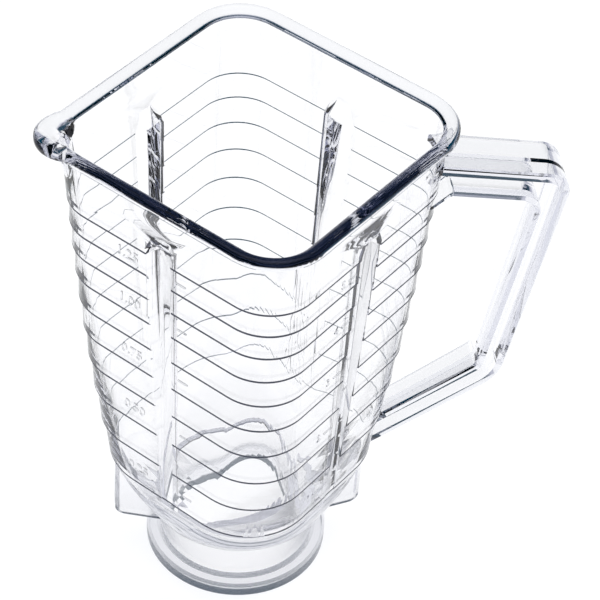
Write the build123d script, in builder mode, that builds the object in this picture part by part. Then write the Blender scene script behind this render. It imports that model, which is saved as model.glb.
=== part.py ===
"""Clear blender jar, moulded in one piece: square mouth with a pouring nose, ten graduation
ledges, four flutes, a flanged corner handle, two locking lugs and a round clamping ring.

Frame: origin on the jar's axis at the foot of the ring, +Z up, handle along +X, pouring nose
along -X. The square's flats face the diagonals, so its corners lie on the X and Y axes.
"""
import os
from math import ceil, cos, pi, radians, sin, sqrt, tan

from build123d import *

# Heights, from the foot of the ring up to the rim
jar_height = 216.0
ring_tall = 6.8
neck_tall = 21.2
shoulder_tall = 26.4
plain_band = 29.0

# Square wall: half the outside width across the flats and the corner radius, at two ledges
wall = 2.6
top_ledge_half = 53.2
low_ledge_half = 44.9
top_corner_radius = 18.6
low_corner_radius = 27.4
straight_share = 0.81

# How finely the walls are drawn: arcs to a corner, most change of corner radius in one strip
corner_arcs = 4
radius_step = 1.9
shoulder_strips = 5

# Ledges: every band is taller than the one above it, so that each holds the same measure
ledge_count = 10
band_growth = 1.0725
ledge_depth = 0.8

# Rim bead and pouring nose
rim_overhang = 3.6
rim_tall = 4.6
rim_bevel = 1.5
mouth_bevel = 2.4
nose_reach = 5.9
nose_radius = 13.3
nose_crease = 4.0
nose_lip = 5.6
nose_overhang = 6.6
nose_tall = 26.0
nose_trough = 10.0
nose_foot_inset = 1.2

# Round foot: shoulder, neck, bore and clamping ring
shoulder_foot_radius = 37.2
shoulder_foot_bevel = 1.0
shoulder_foot_flat = 0.15
neck_radius = 31.0
neck_wall = 3.0
ring_overhang = 5.6
ring_bevel = 1.1
neck_foot_bevel = 1.6

# Flutes: a groove in each flat, with a rib of the wall's thickness behind it
flute_head_drop = 21.6
flute_head_depth = 4.7
flute_foot_depth = 0.4
flute_head_angle = 50.0
flute_floor_width = 5.5
flute_side_angle = 55.0
flute_side_run = 7.0

# Handle: an I section bent in the XZ plane, narrowing from its upper arm to its lower one
handle_top_width = 20.5
handle_foot_width = 12.0
handle_web = 2.2
handle_outer_flange = 3.6
handle_inner_flange = 3.0
handle_edge_bevel = 0.9
handle_drop = 14.8
handle_reach = 47.7
upper_arm_fall = 7.6
upper_arm_depth = 13.8
grip_lean = 8.8
grip_depth = 11.6
lower_arm_fall = 36.4
lower_arm_depth = 12.2
outer_top_radius = 10.0
outer_low_radius = 18.0
inner_top_radius = 5.0
inner_low_radius = 3.0
gusset = 2.5
handle_root = 6.0

# Locking lugs under the nose corner and the handle corner
lug_inset = 2.3
lug_thickness = 6.6
lug_foot_gap = 3.3
lug_foot_rise = 5.8
lug_corner = 5.0
lug_edge_bevel = 1.6

# Worked-out heights and sizes
shoulder_foot = ring_tall + neck_tall
low_ledge = shoulder_foot + shoulder_tall
top_ledge = jar_height - plain_band
rim_foot = jar_height - rim_tall
first_band = (top_ledge - low_ledge) * (band_growth - 1) / (band_growth ** (ledge_count - 1) - 1)
bore_radius = neck_radius - neck_wall
ring_radius = neck_radius + ring_overhang


def fall(height):
    """Share of the way down from the top ledge to the lowest one."""
    return (top_ledge - height) / (top_ledge - low_ledge)


def half_width(height):
    """Half the wall's outside width across the flats."""
    bowed = straight_share * fall(height) + (1 - straight_share) * fall(height) ** 2
    return top_ledge_half - (top_ledge_half - low_ledge_half) * bowed


def corner_radius(height):
    """Outside corner radius of the wall, which grows rounder towards its foot."""
    return top_corner_radius + (low_corner_radius - top_corner_radius) * fall(height) ** 3


def corner_centre(height):
    """Distance from the axis to the centre of a corner's arc."""
    return sqrt(2) * (half_width(height) - corner_radius(height))


def corner_tip(height):
    """Distance from the axis to the outside of a corner."""
    return corner_centre(height) + corner_radius(height)


def ledge_height(number):
    """Height of a ledge, counted from 0 at the top."""
    return top_ledge - first_band * (band_growth**number - 1) / (band_growth - 1)


def square_section(height, half, radius):
    """Rounded square across the diagonals, lying at a height.

    Each corner is drawn as several arcs, so that the strips between two sections mesh evenly.
    """
    centre = sqrt(2) * (half - radius)
    arc = 90 / corner_arcs
    pieces = []
    with BuildLine():
        for turn in range(0, 360, 90):
            middle = Vector(centre, 0).rotate(Axis.Z, turn)
            for number in range(corner_arcs):
                pieces.append(CenterArc(middle, radius, turn - 45 + number * arc, arc))
            flat_start = pieces[-1] @ 1
            flat = Vector(2 * (half - radius), 0).rotate(Axis.Z, turn + 135)
            pieces.append(Line(flat_start, flat_start + flat))
    return make_face(pieces).moved(Location((0, 0, height)))


def wall_section(height, inset):
    """The wall's outline at a height, moved inwards by an inset."""
    return square_section(height, half_width(height) - inset, corner_radius(height) - inset)


def strip_heights(lower, upper):
    """Heights from one to another, close enough together for the change of corner radius."""
    strips = max(1, ceil((corner_radius(lower) - corner_radius(upper)) / radius_step))
    return [lower + (upper - lower) * number / strips for number in range(strips + 1)]


def band_sections(lower, upper):
    """Sections of the band between two ledges, which leans in to leave the ledge above it."""
    sections = []
    for height in strip_heights(lower, upper):
        inset = ledge_depth * (height - lower) / (upper - lower)
        sections.append(square_section(height, half_width(height) - inset, corner_radius(height)))
    return sections


def shoulder_section(share, foot_inset, top_inset, lift):
    """The shoulder's outline, from nearly round at its foot (share 0) to the lowest ledge (share 1)."""
    swell = sin(share * pi / 2)
    foot_half = shoulder_foot_radius - foot_inset
    foot_corner = foot_half - shoulder_foot_flat
    half = foot_half + (low_ledge_half - top_inset - foot_half) * swell
    radius = foot_corner + (low_corner_radius - top_inset - foot_corner) * share
    height = shoulder_foot + lift + (shoulder_tall - lift) * share
    return square_section(height, half, radius)


def nose_section(height, centre, radius):
    """One round section of the pouring nose."""
    with BuildSketch(Plane.XY.offset(height)) as section:
        with Locations((-centre, 0)):
            Circle(radius)
    return section.sketch


def flute_tool(growth):
    """Solid that fills a flute on the +X side, grown all round by a distance."""
    head = jar_height - flute_head_drop
    floor_top = half_width(head) - flute_head_depth
    floor_low = half_width(low_ledge) - flute_foot_depth
    lean = (floor_top - floor_low) / (head - low_ledge)
    outside = half_width(jar_height) + 3 * flute_side_run
    head_rise = (outside - floor_top) * tan(radians(flute_head_angle))
    drop = head - shoulder_foot
    floor_half = flute_floor_width / 2 + growth * tan(radians(flute_side_angle / 2))
    head_floor = head - flute_head_depth * tan(radians(flute_head_angle))
    with BuildPart() as tool:
        with BuildSketch(Plane.XZ) as profile:
            with BuildLine():
                Polyline(
                    (floor_top, head_floor),
                    (floor_top - lean * drop, head_floor - drop),
                    (outside, head_floor - drop),
                    (outside, head_floor + head_rise),
                    close=True,
                )
            make_face()
            if growth > 0:
                offset(amount=growth, kind=Kind.INTERSECTION)
        extrude(amount=floor_half)
        with BuildSketch(Plane.XZ.offset(floor_half)):
            add(profile.sketch_local)
        extrude(amount=flute_side_run, taper=flute_side_angle)
        mirror(about=Plane.XZ)
    return tool.part


def meeting(first, first_angle, second, second_angle):
    """Where two lines in the XZ plane cross, each given by a point and its angle in degrees."""
    ax, az = cos(radians(first_angle)), sin(radians(first_angle))
    bx, bz = cos(radians(second_angle)), sin(radians(second_angle))
    along = ((second[0] - first[0]) * bz - (second[1] - first[1]) * bx) / (ax * bz - az * bx)
    return (first[0] + along * ax, first[1] + along * az)


def beside(point, angle, distance):
    """A point moved to the right of a line's direction."""
    return (point[0] + distance * sin(radians(angle)), point[1] - distance * cos(radians(angle)))


def handle_outline(inset_outer, inset_inner):
    """Closed outline of the handle's bar, moved in from its outer and its inner edge."""
    arm_angle = -upper_arm_fall
    grip_angle = -90 - grip_lean
    lower_angle = 180 + lower_arm_fall
    arm_height = jar_height - handle_drop
    arm_root = (corner_tip(arm_height), arm_height)
    outer_corner = (arm_root[0] + handle_reach, arm_height - handle_reach * tan(radians(upper_arm_fall)))
    lower_root = (corner_tip(low_ledge), low_ledge)
    arm_out = beside(arm_root, arm_angle, inset_outer)
    grip_out = beside(outer_corner, grip_angle, inset_outer)
    lower_out = beside(lower_root, lower_angle, inset_outer)
    arm_in = beside(arm_root, arm_angle, upper_arm_depth - inset_inner)
    grip_in = beside(outer_corner, grip_angle, grip_depth - inset_inner)
    lower_in = beside(lower_root, lower_angle, lower_arm_depth - inset_inner)
    inside_top = (arm_root[0] - handle_root, arm_height)
    inside_low = (lower_root[0] - handle_root, low_ledge)
    brace_start = meeting(arm_in, arm_angle, (arm_root[0] + gusset, 0), 90)
    return [
        (meeting(inside_top, 90, arm_out, arm_angle), 0),
        (meeting(arm_out, arm_angle, grip_out, grip_angle), outer_top_radius - inset_outer),
        (meeting(grip_out, grip_angle, lower_out, lower_angle), outer_low_radius - inset_outer),
        (meeting(lower_out, lower_angle, inside_low, 90), 0),
        (meeting(inside_low, 90, lower_in, lower_angle), 0),
        (meeting(lower_in, lower_angle, grip_in, grip_angle), inner_low_radius + inset_inner),
        (meeting(grip_in, grip_angle, arm_in, arm_angle), inner_top_radius + inset_inner),
        (brace_start, gusset),
        (meeting(brace_start, 45, inside_top, 90), 0),
    ]


def handle_profile(inset_outer, inset_inner):
    """Sketch of the handle's outline in the XZ plane, with its corners rounded."""
    corners = handle_outline(inset_outer, inset_inner)
    with BuildSketch(Plane.XZ) as profile:
        with BuildLine():
            Polyline([point for point, radius in corners], close=True)
        make_face()
        for point, radius in corners:
            if radius > 0:
                fillet(profile.vertices().sort_by_distance((*point, 0))[0], radius)
    return profile.sketch


def handle_half(height):
    """Half the handle's width, which shrinks evenly from the upper arm down to the lowest ledge."""
    arm_height = jar_height - handle_drop
    share = (arm_height - height) / (arm_height - low_ledge)
    return (handle_top_width + (handle_foot_width - handle_top_width) * share) / 2


# Handle: the bent bar is narrowed, its edges are rounded and a pocket in each side leaves the web
with BuildPart() as handle:
    extrude(handle_profile(0, 0), amount=handle_top_width, both=True)
    with BuildSketch(Plane.YZ):
        with BuildLine():
            Polyline(
                (-handle_half(0), 0),
                (handle_half(0), 0),
                (handle_half(jar_height), jar_height),
                (-handle_half(jar_height), jar_height),
                close=True,
            )
        make_face()
    extrude(amount=jar_height, mode=Mode.INTERSECT)
    for cheek in (handle.faces().sort_by(Axis.Y)[0], handle.faces().sort_by(Axis.Y)[-1]):
        chamfer(cheek.edges(), handle_edge_bevel)
    pocket = handle_profile(handle_outer_flange, handle_inner_flange)
    for side in (1, -1):
        web_face = pocket.moved(Location((0, side * handle_web / 2, 0)))
        extrude(web_face, amount=-side * handle_top_width, mode=Mode.SUBTRACT)

# Rim bead, with the pouring nose drawn into its outline
rim_half = half_width(rim_foot) + rim_overhang
rim_corner = corner_radius(rim_foot) + rim_overhang
nose_centre = sqrt(2) * (rim_half - rim_corner) + rim_corner + nose_reach - nose_radius
with BuildPart() as rim:
    with BuildSketch(Plane.XY.offset(rim_foot)) as outline:
        RectangleRounded(2 * rim_half, 2 * rim_half, rim_corner, rotation=45)
        with Locations((-nose_centre, 0)):
            Circle(nose_radius)
        fillet(outline.vertices().sort_by(Axis.X)[:2], nose_crease)
    extrude(amount=rim_tall)
    chamfer(rim.edges().filter_by(Plane.XY), rim_bevel)

# Round foot: neck and clamping ring, turned about the axis
with BuildPart() as foot:
    with BuildSketch(Plane.XZ) as section:
        with BuildLine():
            Polyline(
                (0, 0),
                (ring_radius, 0),
                (ring_radius, ring_tall),
                (neck_radius, ring_tall),
                (neck_radius, shoulder_foot + wall),
                (0, shoulder_foot + wall),
                close=True,
            )
        make_face()
        ring_corners = section.vertices().group_by(Axis.X)[-1]
        chamfer(ring_corners, ring_bevel)
        neck_corner = section.vertices().sort_by_distance((neck_radius, ring_tall, 0))[0]
        chamfer(neck_corner, neck_foot_bevel)
    revolve(axis=Axis.Z)

# Locking lugs: two fins from the shoulder down the neck, their free edges rounded
lug_reach = corner_tip(low_ledge) - lug_inset
lug_foot = ring_tall + lug_foot_gap
lug_slope = lug_foot_rise / (lug_reach - neck_radius)
with BuildPart() as lugs:
    with BuildSketch(Plane.XZ) as fin:
        with BuildLine():
            Polyline(
                (bore_radius, low_ledge - ledge_depth),
                (lug_reach, low_ledge - ledge_depth),
                (lug_reach, lug_foot + lug_foot_rise),
                (bore_radius, lug_foot - lug_slope * neck_wall),
                close=True,
            )
        make_face()
        free_corner = fin.vertices().sort_by_distance((lug_reach, lug_foot + lug_foot_rise, 0))[0]
        fillet(free_corner, lug_corner)
    extrude(amount=lug_thickness / 2, both=True)
    sides = lugs.faces().filter_by(Axis.Y)
    chamfer(sides.edges().filter_by(lambda edge: edge.center().X > neck_radius), lug_edge_bevel)
    mirror(about=Plane.YZ)

# Inside of the jar: smooth walls, nose and bore, with a rib standing in at each flute
ledges = [ledge_height(number) for number in range(ledge_count)]
shoulder_shares = [number / shoulder_strips for number in range(shoulder_strips + 1)]
inside_heights = [low_ledge]
for number in range(ledge_count - 1, ledge_count // 2, -1):
    inside_heights += strip_heights(ledges[number], ledges[number - 1])[1:]
inside_walls = [wall_section(height, wall) for height in inside_heights]
inside_walls.append(wall_section(jar_height - mouth_bevel, wall))
inside_walls.append(wall_section(jar_height, wall - mouth_bevel))
inside_shoulder = [shoulder_section(share, wall, wall, wall) for share in shoulder_shares]
trough_foot = jar_height - nose_trough
trough_foot_radius = corner_radius(trough_foot) - wall - nose_foot_inset
trough = [
    nose_section(trough_foot, corner_centre(trough_foot), trough_foot_radius),
    nose_section(jar_height, nose_centre, nose_radius - nose_lip),
]
rib = flute_tool(wall)
with BuildPart() as hollow:
    loft(inside_walls, ruled=True)
    loft(inside_shoulder, ruled=True)
    with PolarLocations(0, 4, start_angle=45):
        add(rib, mode=Mode.SUBTRACT)
    loft(trough, ruled=True)
    with BuildSketch():
        Circle(bore_radius)
    extrude(amount=shoulder_foot + wall)

# The jar: stepped bands, shoulder and flutes, then what stands on them, then the inside cut out
bands = [[wall_section(top_ledge, 0), wall_section(rim_foot + rim_bevel, 0)]]
bands += [band_sections(lower, upper) for upper, lower in zip(ledges, ledges[1:])]
foot_half = shoulder_foot_radius - shoulder_foot_bevel
shoulder = [square_section(shoulder_foot, foot_half, foot_half - shoulder_foot_flat)]
shoulder += [shoulder_section(share, 0, ledge_depth, shoulder_foot_bevel) for share in shoulder_shares]
nose_foot = jar_height - nose_tall
nose = [
    nose_section(nose_foot, corner_centre(nose_foot), corner_radius(nose_foot) - nose_foot_inset),
    nose_section(rim_foot + rim_bevel, nose_centre, nose_radius - nose_overhang),
]
flute = flute_tool(0)
with BuildPart() as jar:
    for band in bands:
        loft(band, ruled=True)
    loft(shoulder, ruled=True)
    with PolarLocations(0, 4, start_angle=45):
        add(flute, mode=Mode.SUBTRACT)
    add(rim.part)
    loft(nose, ruled=True)
    add(handle.part)
    add(lugs.part)
    add(foot.part)
    add(hollow.part, mode=Mode.SUBTRACT)

jar.part.label = "jar"
os.makedirs("parts", exist_ok=True)
export_step(jar.part, "parts/jar.step")
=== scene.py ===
"""Looks of the clear blender jar: smooth clear plastic, raised measure numbers, white table, soft light.

Lengths are in metres and angles in degrees.
"""

from math import copysign, cos, radians, sin, sqrt

import bmesh
import bpy
from mathutils import Matrix, Vector
from mathutils.bvhtree import BVHTree


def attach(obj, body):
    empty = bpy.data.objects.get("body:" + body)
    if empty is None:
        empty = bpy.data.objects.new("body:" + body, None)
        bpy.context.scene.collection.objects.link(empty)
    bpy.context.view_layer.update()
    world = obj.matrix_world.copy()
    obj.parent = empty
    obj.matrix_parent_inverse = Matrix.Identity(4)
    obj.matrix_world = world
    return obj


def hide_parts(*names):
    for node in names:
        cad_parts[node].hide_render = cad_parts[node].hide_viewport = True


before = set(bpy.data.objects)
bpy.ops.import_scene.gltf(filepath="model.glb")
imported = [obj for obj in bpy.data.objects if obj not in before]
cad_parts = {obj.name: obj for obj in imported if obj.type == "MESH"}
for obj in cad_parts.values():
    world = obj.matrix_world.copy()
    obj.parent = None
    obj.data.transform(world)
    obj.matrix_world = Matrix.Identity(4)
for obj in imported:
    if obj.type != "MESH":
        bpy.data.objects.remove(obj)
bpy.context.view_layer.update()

# Edges that turn by less than the crease angle are shaded smooth; it is larger where the jar is rounded
crease_angle = 24
round_crease_angle = 85
weld_distance = 1e-6
rim_foot = 0.2138
bead_foot = 0.2110
grip_start = 0.080
grip_reach = (0.102, 0.188)
grip_ease = 0.8

# Wall: a slope is the upright part of a face's normal, a turn is its part along the flat
wall_lean = 3.6
wall_reach = (0.0435, 0.0685)
wall_slope = 0.12
flute_half = 0.0070
flute_slope = 0.3
flute_side_turn = 0.2
flute_ease = 0.7
flute_line = 0.00275
rib_line = 0.0041
line_slack = 0.00015

# Ledges, and the strip of painted shade above each at the front: a face within strip_share of a strip's
# height belongs to it
low_ledge = 0.054
top_ledge = 0.190
ledge_slope = 0.999
height_digits = 3
strip_tall = 0.0009
strip_share = 0.6

# Raised marks on the two front flats; places are measured along a flat from its flute
left_side = -1
right_side = 1
number_size = 0.0060
digit_size = 0.0048
figure_steps = 3
mark_raise = 0.0003
mark_sink = 0.00005
number_along = -0.0145
digit_along = -0.0148
left_dash_along = 0.0100
right_dash_along = -0.0095
dash_long = 0.0045
dash_tall = 0.0006
ray_start = 0.2
left_numbers = ("1.25", "1.00", "0.75", "0.50", "0.25")
right_digits = ("5", "4", "3", "2", "1")

# Clear plastic, frosted at the foot
plastic_ior = 1.52
plastic_tint = (0.994, 0.993, 0.996, 1)
shadow_tint = (0.93, 0.94, 0.97, 1)
foot_roughness = 0.25
foot_rough_below = 0.024
foot_clear_above = 0.040
tint_depth = 18.0
tint_colour = (0.48, 0.50, 0.63, 1)
# Painted shade: a dark blue put on the front ledges and the strips above them, so they show as dark lines on
# the wall
painted_ledge_shade_colour = (0.02, 0.025, 0.05, 1)
painted_ledge_shade_roughness = 0.4

# Table: white around the jar, and as pale as the low sky far away
table_half = 6.0
table_drop = 0.0004
table_white_reach = 0.7
table_dark_reach = 1.6
table_colour = (0.9, 0.9, 0.9, 1)
white = (1, 1, 1, 1)
glow_share = 0.8

# Sky and lamps: name, place, size and power of each lamp
low_sky = (0.62, 0.63, 0.72, 1)
dark_sky = (0.002, 0.042, 0.080, 1)
high_sky = (0.50, 0.52, 0.62, 1)
dark_sky_heights = (0.32, 0.8)
lamps = (
    ("overhead", Vector((0.3, 0.2, 1.8)), 1.6, 54),
    ("left", Vector((-1.4, -0.9, 1.1)), 1.0, 15),
)
lamp_aim = Vector((0, 0, 0.1))
light_bounces = 16
glossy_bounces = 12

# Camera, found from the photograph
camera_place = Vector((-0.0918215, -0.6475998, 0.7532269))
camera_yaw = 9.79054
camera_pitch = -43.50587
camera_roll = 4.33152
camera_lens = 143.6666
camera_sensor = 36
camera_clip = (0.05, 30)


def new_material(name):
    """A material with an empty node tree; returns it with its nodes and links."""
    material = bpy.data.materials.new(name)
    material.use_nodes = True
    nodes = material.node_tree.nodes
    nodes.clear()
    return material, nodes, material.node_tree.links


def clear_plastic():
    """Clear plastic that lets light through to the table and takes a blue tint where it is deep."""
    material, nodes, links = new_material("clear_plastic")
    surface = nodes.new("ShaderNodeBsdfPrincipled")
    surface.inputs["Base Color"].default_value = plastic_tint
    surface.inputs["IOR"].default_value = plastic_ior
    surface.inputs["Transmission Weight"].default_value = 1
    place = nodes.new("ShaderNodeNewGeometry")
    split = nodes.new("ShaderNodeSeparateXYZ")
    links.new(place.outputs["Position"], split.inputs["Vector"])
    rough = nodes.new("ShaderNodeMapRange")
    rough.inputs["From Min"].default_value = foot_rough_below
    rough.inputs["From Max"].default_value = foot_clear_above
    rough.inputs["To Min"].default_value = foot_roughness
    rough.inputs["To Max"].default_value = 0
    links.new(split.outputs["Z"], rough.inputs["Value"])
    links.new(rough.outputs["Result"], surface.inputs["Roughness"])
    see_through = nodes.new("ShaderNodeBsdfTransparent")
    see_through.inputs["Color"].default_value = shadow_tint
    rays = nodes.new("ShaderNodeLightPath")
    mix = nodes.new("ShaderNodeMixShader")
    links.new(rays.outputs["Is Shadow Ray"], mix.inputs["Fac"])
    links.new(surface.outputs["BSDF"], mix.inputs[1])
    links.new(see_through.outputs["BSDF"], mix.inputs[2])
    depth = nodes.new("ShaderNodeVolumeAbsorption")
    depth.inputs["Color"].default_value = tint_colour
    depth.inputs["Density"].default_value = tint_depth
    output = nodes.new("ShaderNodeOutputMaterial")
    links.new(mix.outputs["Shader"], output.inputs["Surface"])
    links.new(depth.outputs["Volume"], output.inputs["Volume"])
    return material


def painted_ledge_shade():
    """Painted shade: a dark blue on the front ledges and the strips above them, which shows as lines on the
    wall.
    """
    material, nodes, links = new_material("painted_ledge_shade")
    surface = nodes.new("ShaderNodeBsdfPrincipled")
    surface.inputs["Base Color"].default_value = painted_ledge_shade_colour
    surface.inputs["Roughness"].default_value = painted_ledge_shade_roughness
    output = nodes.new("ShaderNodeOutputMaterial")
    links.new(surface.outputs["BSDF"], output.inputs["Surface"])
    return material


def table_material():
    """White table that shows as white to the camera and through the jar, and keeps a soft shadow."""
    material, nodes, links = new_material("white_table")
    lit = nodes.new("ShaderNodeBsdfDiffuse")
    lit.inputs["Color"].default_value = table_colour
    glow = nodes.new("ShaderNodeEmission")
    glow.inputs["Strength"].default_value = 1
    place = nodes.new("ShaderNodeTexCoord")
    distance = nodes.new("ShaderNodeVectorMath")
    distance.operation = "LENGTH"
    links.new(place.outputs["Object"], distance.inputs[0])
    fade = nodes.new("ShaderNodeMapRange")
    fade.interpolation_type = "SMOOTHSTEP"
    fade.inputs["From Min"].default_value = table_white_reach
    fade.inputs["From Max"].default_value = table_dark_reach
    links.new(distance.outputs["Value"], fade.inputs["Value"])
    shade = nodes.new("ShaderNodeMix")
    shade.data_type = "RGBA"
    shade.inputs["A"].default_value = white
    shade.inputs["B"].default_value = low_sky
    links.new(fade.outputs["Result"], shade.inputs["Factor"])
    links.new(shade.outputs["Result"], glow.inputs["Color"])
    rays = nodes.new("ShaderNodeLightPath")
    straight = nodes.new("ShaderNodeMath")
    straight.operation = "MAXIMUM"
    links.new(rays.outputs["Is Camera Ray"], straight.inputs[0])
    links.new(rays.outputs["Is Glossy Ray"], straight.inputs[1])
    seen = nodes.new("ShaderNodeMath")
    seen.operation = "MAXIMUM"
    links.new(straight.outputs["Value"], seen.inputs[0])
    links.new(rays.outputs["Is Transmission Ray"], seen.inputs[1])
    share = nodes.new("ShaderNodeMath")
    share.operation = "MULTIPLY"
    links.new(seen.outputs["Value"], share.inputs[0])
    share.inputs[1].default_value = glow_share
    mix = nodes.new("ShaderNodeMixShader")
    links.new(share.outputs["Value"], mix.inputs["Fac"])
    links.new(lit.outputs["BSDF"], mix.inputs[1])
    links.new(glow.outputs["Emission"], mix.inputs[2])
    output = nodes.new("ShaderNodeOutputMaterial")
    links.new(mix.outputs["Shader"], output.inputs["Surface"])
    return material


def along_flat(spot):
    """How far a spot lies from the middle of its flat, where the flute runs."""
    return abs(abs(spot.x) - abs(spot.y)) / sqrt(2)


def on_flute_line(spot):
    """Whether a spot lies where the floor of a flute, or of the rib behind it, meets its sides."""
    along = along_flat(spot)
    return min(abs(along - flute_line), abs(along - rib_line)) < line_slack


def in_rim(edge):
    """Whether an edge is a rounded one of the rim: one of its upper edges, or an outer edge of the bead."""
    foot = min(corner.co.z for corner in edge.verts)
    turn = sum((face.normal.xy for face in edge.link_faces), Vector((0, 0)))
    return foot > rim_foot or (foot > bead_foot and turn.dot(edge.verts[0].co.xy) > 0)


def in_grip(spot):
    """Whether a spot lies on the handle's grip, between its two arms."""
    return spot.x > grip_start and grip_reach[0] < spot.z < grip_reach[1]


def on_band(normal, centre):
    """Whether a face belongs to the outside of the wall between the lowest ledge and the rim."""
    reach = normal.x * centre.x + normal.y * centre.y
    upright = abs(normal.z) < wall_slope
    return upright and wall_reach[0] < reach < wall_reach[1] and low_ledge < centre.z < rim_foot


def in_front_flute(normal, centre):
    """Whether a face belongs to a front flute, save for the right flute's side that is turned away."""
    inside = along_flat(centre) < flute_half and low_ledge < centre.z < top_ledge
    turned_away = centre.x > 0 and (normal.x + normal.y) / sqrt(2) > flute_side_turn
    return centre.y < 0 and inside and abs(normal.z) < flute_slope and not turned_away


def ease_normals(mesh):
    """Shade the bands as leaning with the wall's inside, the front flutes as shallow, the grip as round."""
    rise = -sin(radians(wall_lean))
    spread = cos(radians(wall_lean))
    normals = [corner.vector.copy() for corner in mesh.corner_normals]
    for face in mesh.polygons:
        outward = Vector((copysign(1, face.center.x), copysign(1, face.center.y), 0)).normalized()
        straight = outward if face.normal.dot(outward) > 0 else -outward
        for corner in face.loop_indices:
            if in_front_flute(face.normal, face.center):
                normals[corner] = normals[corner].lerp(straight, flute_ease).normalized()
            elif in_grip(face.center):
                normals[corner] = face.normal.lerp(normals[corner], grip_ease).normalized()
            elif on_band(face.normal, face.center):
                level = normals[corner].xy.normalized() * spread
                normals[corner] = Vector((level.x, level.y, rise))
    mesh.normals_split_custom_set(normals)


def cut_painted_shade_strips(shape, heights):
    """Cut a thin strip off the foot of each band, and give it and the ledge under it the painted shade at the
    front.
    """
    for height in heights:
        faces = [face for face in shape.faces if on_band(face.normal, face.calc_center_median())]
        edges = {edge for face in faces for edge in face.edges}
        corners = {corner for face in faces for corner in face.verts}
        cut = Vector((0, 0, height + strip_tall))
        bmesh.ops.bisect_plane(shape, geom=[*faces, *edges, *corners], plane_co=cut, plane_no=(0, 0, 1))
    for face in shape.faces:
        centre = face.calc_center_median()
        offset = min(abs(centre.z - height - strip_tall / 2) for height in heights)
        on_ledge = on_band(face.normal, centre) or face.normal.z < -ledge_slope
        # Strips and ledges at the front take the second material, the painted shade
        face.material_index = int(offset < strip_share * strip_tall and on_ledge and centre.y < 0)


def smooth_jar(source):
    """A copy of the jar whose faces are joined and shaded smoothly, save at its true edges."""
    mesh = bpy.data.meshes.new("jar_smooth")
    shape = bmesh.new()
    shape.from_mesh(source.data)
    bmesh.ops.remove_doubles(shape, verts=shape.verts, dist=weld_distance)
    for face in shape.faces:
        face.smooth = True
    cut_painted_shade_strips(shape, ledge_heights(source))
    for edge in shape.edges:
        middle = (edge.verts[0].co + edge.verts[1].co) / 2
        on_flute = all(on_flute_line(corner.co) for corner in edge.verts)
        rounded = in_rim(edge) or in_grip(middle) or on_flute
        limit = round_crease_angle if rounded else crease_angle
        edge.smooth = edge.calc_face_angle(0) < radians(limit)
    shape.to_mesh(mesh)
    shape.free()
    ease_normals(mesh)
    jar = bpy.data.objects.new("jar_clear", mesh)
    bpy.context.scene.collection.objects.link(jar)
    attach(jar, "root")
    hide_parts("jar")
    return jar


def ledge_heights(source):
    """Heights of the ledges from the top down, read off the level faces that look downwards."""
    faces = source.data.polygons
    level = [face.center.z for face in faces if face.normal.z < -ledge_slope]
    found = {}
    for height in sorted(height for height in level if low_ledge <= height <= top_ledge):
        found[round(height, height_digits)] = height
    return sorted(found.values(), reverse=True)


def add_mark(name, mesh, wall, side, along, height, plastic):
    """Set a mark on the left or right front flat, square to the wall there."""
    outward = Vector((side, -1, 0)).normalized()
    across = Vector((1, side, 0)).normalized()
    start = outward * ray_start + across * along + Vector((0, 0, height))
    spot, normal = wall.ray_cast(start, -outward)[:2]
    upward = normal.cross(across)
    turn = Matrix((across, upward, normal)).transposed().to_4x4()
    mesh.materials.append(plastic)
    mark = bpy.data.objects.new(name, mesh)
    mark.matrix_world = Matrix.Translation(spot) @ turn
    bpy.context.scene.collection.objects.link(mark)
    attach(mark, "root")


def number_mesh(text, size):
    """Raised figures, centred on their own origin."""
    curve = bpy.data.curves.new("figures", "FONT")
    curve.body = text
    curve.size = size
    curve.align_x = "CENTER"
    curve.align_y = "CENTER"
    curve.extrude = (mark_raise + mark_sink) / 2
    curve.resolution_u = figure_steps
    figures = bpy.data.objects.new("figures", curve)
    mesh = bpy.data.meshes.new_from_object(figures)
    mesh.transform(Matrix.Translation((0, 0, (mark_raise - mark_sink) / 2)))
    bpy.data.objects.remove(figures)
    return mesh


def dash_mesh():
    """A short raised dash, centred on its own origin."""
    mesh = bpy.data.meshes.new("dash")
    shape = bmesh.new()
    bmesh.ops.create_cube(shape, size=1)
    bmesh.ops.scale(shape, vec=(dash_long, dash_tall, mark_raise + mark_sink), verts=shape.verts)
    bmesh.ops.translate(shape, vec=(0, 0, (mark_raise - mark_sink) / 2), verts=shape.verts)
    shape.to_mesh(mesh)
    shape.free()
    return mesh


def add_marks(source, heights, plastic):
    """Measure numbers on the left front flat, digits on the right one, a dash beside each."""
    corners = [corner.co for corner in source.data.vertices]
    wall = BVHTree.FromPolygons(corners, [face.vertices for face in source.data.polygons])
    for order, (number, digit) in enumerate(zip(left_numbers, right_digits)):
        middle = (heights[2 * order] + heights[2 * order + 1]) / 2
        marks = (
            ("number_" + number, number_mesh(number, number_size), left_side, number_along),
            ("dash_" + number, dash_mesh(), left_side, left_dash_along),
            ("digit_" + digit, number_mesh(digit, digit_size), right_side, digit_along),
            ("dash_" + digit, dash_mesh(), right_side, right_dash_along),
        )
        for name, mesh, side, along in marks:
            add_mark(name, mesh, wall, side, along, middle, plastic)


def add_table():
    """The white table under the jar."""
    mesh = bpy.data.meshes.new("table")
    signs = ((-1, -1), (1, -1), (1, 1), (-1, 1))
    corners = [(x * table_half, y * table_half, -table_drop) for x, y in signs]
    mesh.from_pydata(corners, [], [(0, 1, 2, 3)])
    table = bpy.data.objects.new("table", mesh)
    table.data.materials.append(table_material())
    bpy.context.scene.collection.objects.link(table)


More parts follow.
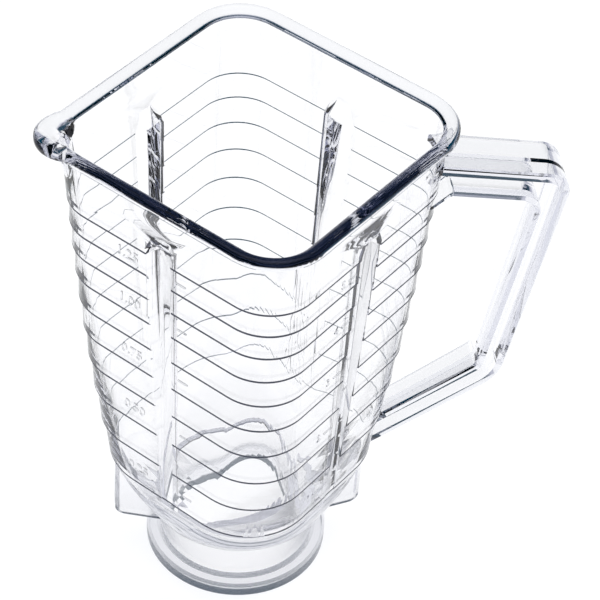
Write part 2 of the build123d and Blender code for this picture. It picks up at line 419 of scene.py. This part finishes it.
def add_sky():
    """World: pale at the horizon and straight overhead, dark blue between."""
    world = bpy.data.worlds.new("studio")
    bpy.context.scene.world = world
    world.use_nodes = True
    nodes = world.node_tree.nodes
    links = world.node_tree.links
    background = nodes["Background"]
    background.inputs["Strength"].default_value = 1
    place = nodes.new("ShaderNodeTexCoord")
    split = nodes.new("ShaderNodeSeparateXYZ")
    links.new(place.outputs["Generated"], split.inputs["Vector"])
    ramp = nodes.new("ShaderNodeValToRGB")
    ramp.color_ramp.elements[0].color = low_sky
    ramp.color_ramp.elements[1].color = high_sky
    for height in dark_sky_heights:
        ramp.color_ramp.elements.new(height).color = dark_sky
    links.new(split.outputs["Z"], ramp.inputs["Fac"])
    links.new(ramp.outputs["Color"], background.inputs["Color"])


def add_lamp(name, place, size, power):
    """A soft square lamp that points at the jar."""
    data = bpy.data.lights.new(name, "AREA")
    data.size = size
    data.energy = power
    lamp = bpy.data.objects.new(name, data)
    lamp.location = place
    lamp.rotation_euler = (lamp_aim - place).to_track_quat("-Z", "Y").to_euler()
    lamp.visible_glossy = False
    lamp.visible_transmission = False
    bpy.context.scene.collection.objects.link(lamp)


def add_camera():
    """The photograph's camera."""
    yaw = radians(camera_yaw)
    pitch = radians(camera_pitch)
    roll = radians(camera_roll)
    ahead = Vector((sin(yaw) * cos(pitch), cos(yaw) * cos(pitch), sin(pitch)))
    level = Vector((cos(yaw), -sin(yaw), 0))
    upright = level.cross(ahead)
    right = level * cos(roll) + upright * sin(roll)
    up = upright * cos(roll) - level * sin(roll)
    data = bpy.data.cameras.new("camera")
    data.lens = camera_lens
    data.sensor_width = camera_sensor
    data.clip_start, data.clip_end = camera_clip
    camera = bpy.data.objects.new("camera", data)
    turn = Matrix((right, up, -ahead)).transposed()
    camera.matrix_world = Matrix.Translation(camera_place) @ turn.to_4x4()
    bpy.context.scene.collection.objects.link(camera)
    bpy.context.scene.camera = camera


cad_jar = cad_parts["jar"]
plastic = clear_plastic()
jar = smooth_jar(cad_jar)
jar.data.materials.append(plastic)
# The second material is the painted shade of the front ledges and their strips
jar.data.materials.append(painted_ledge_shade())
add_marks(cad_jar, ledge_heights(cad_jar), plastic)
add_table()
add_sky()
for lamp_name, lamp_place, lamp_size, lamp_power in lamps:
    add_lamp(lamp_name, lamp_place, lamp_size, lamp_power)
add_camera()
bpy.context.scene.view_settings.view_transform = "Standard"
bpy.context.scene.cycles.max_bounces = light_bounces
bpy.context.scene.cycles.transmission_bounces = light_bounces
bpy.context.scene.cycles.glossy_bounces = glossy_bounces
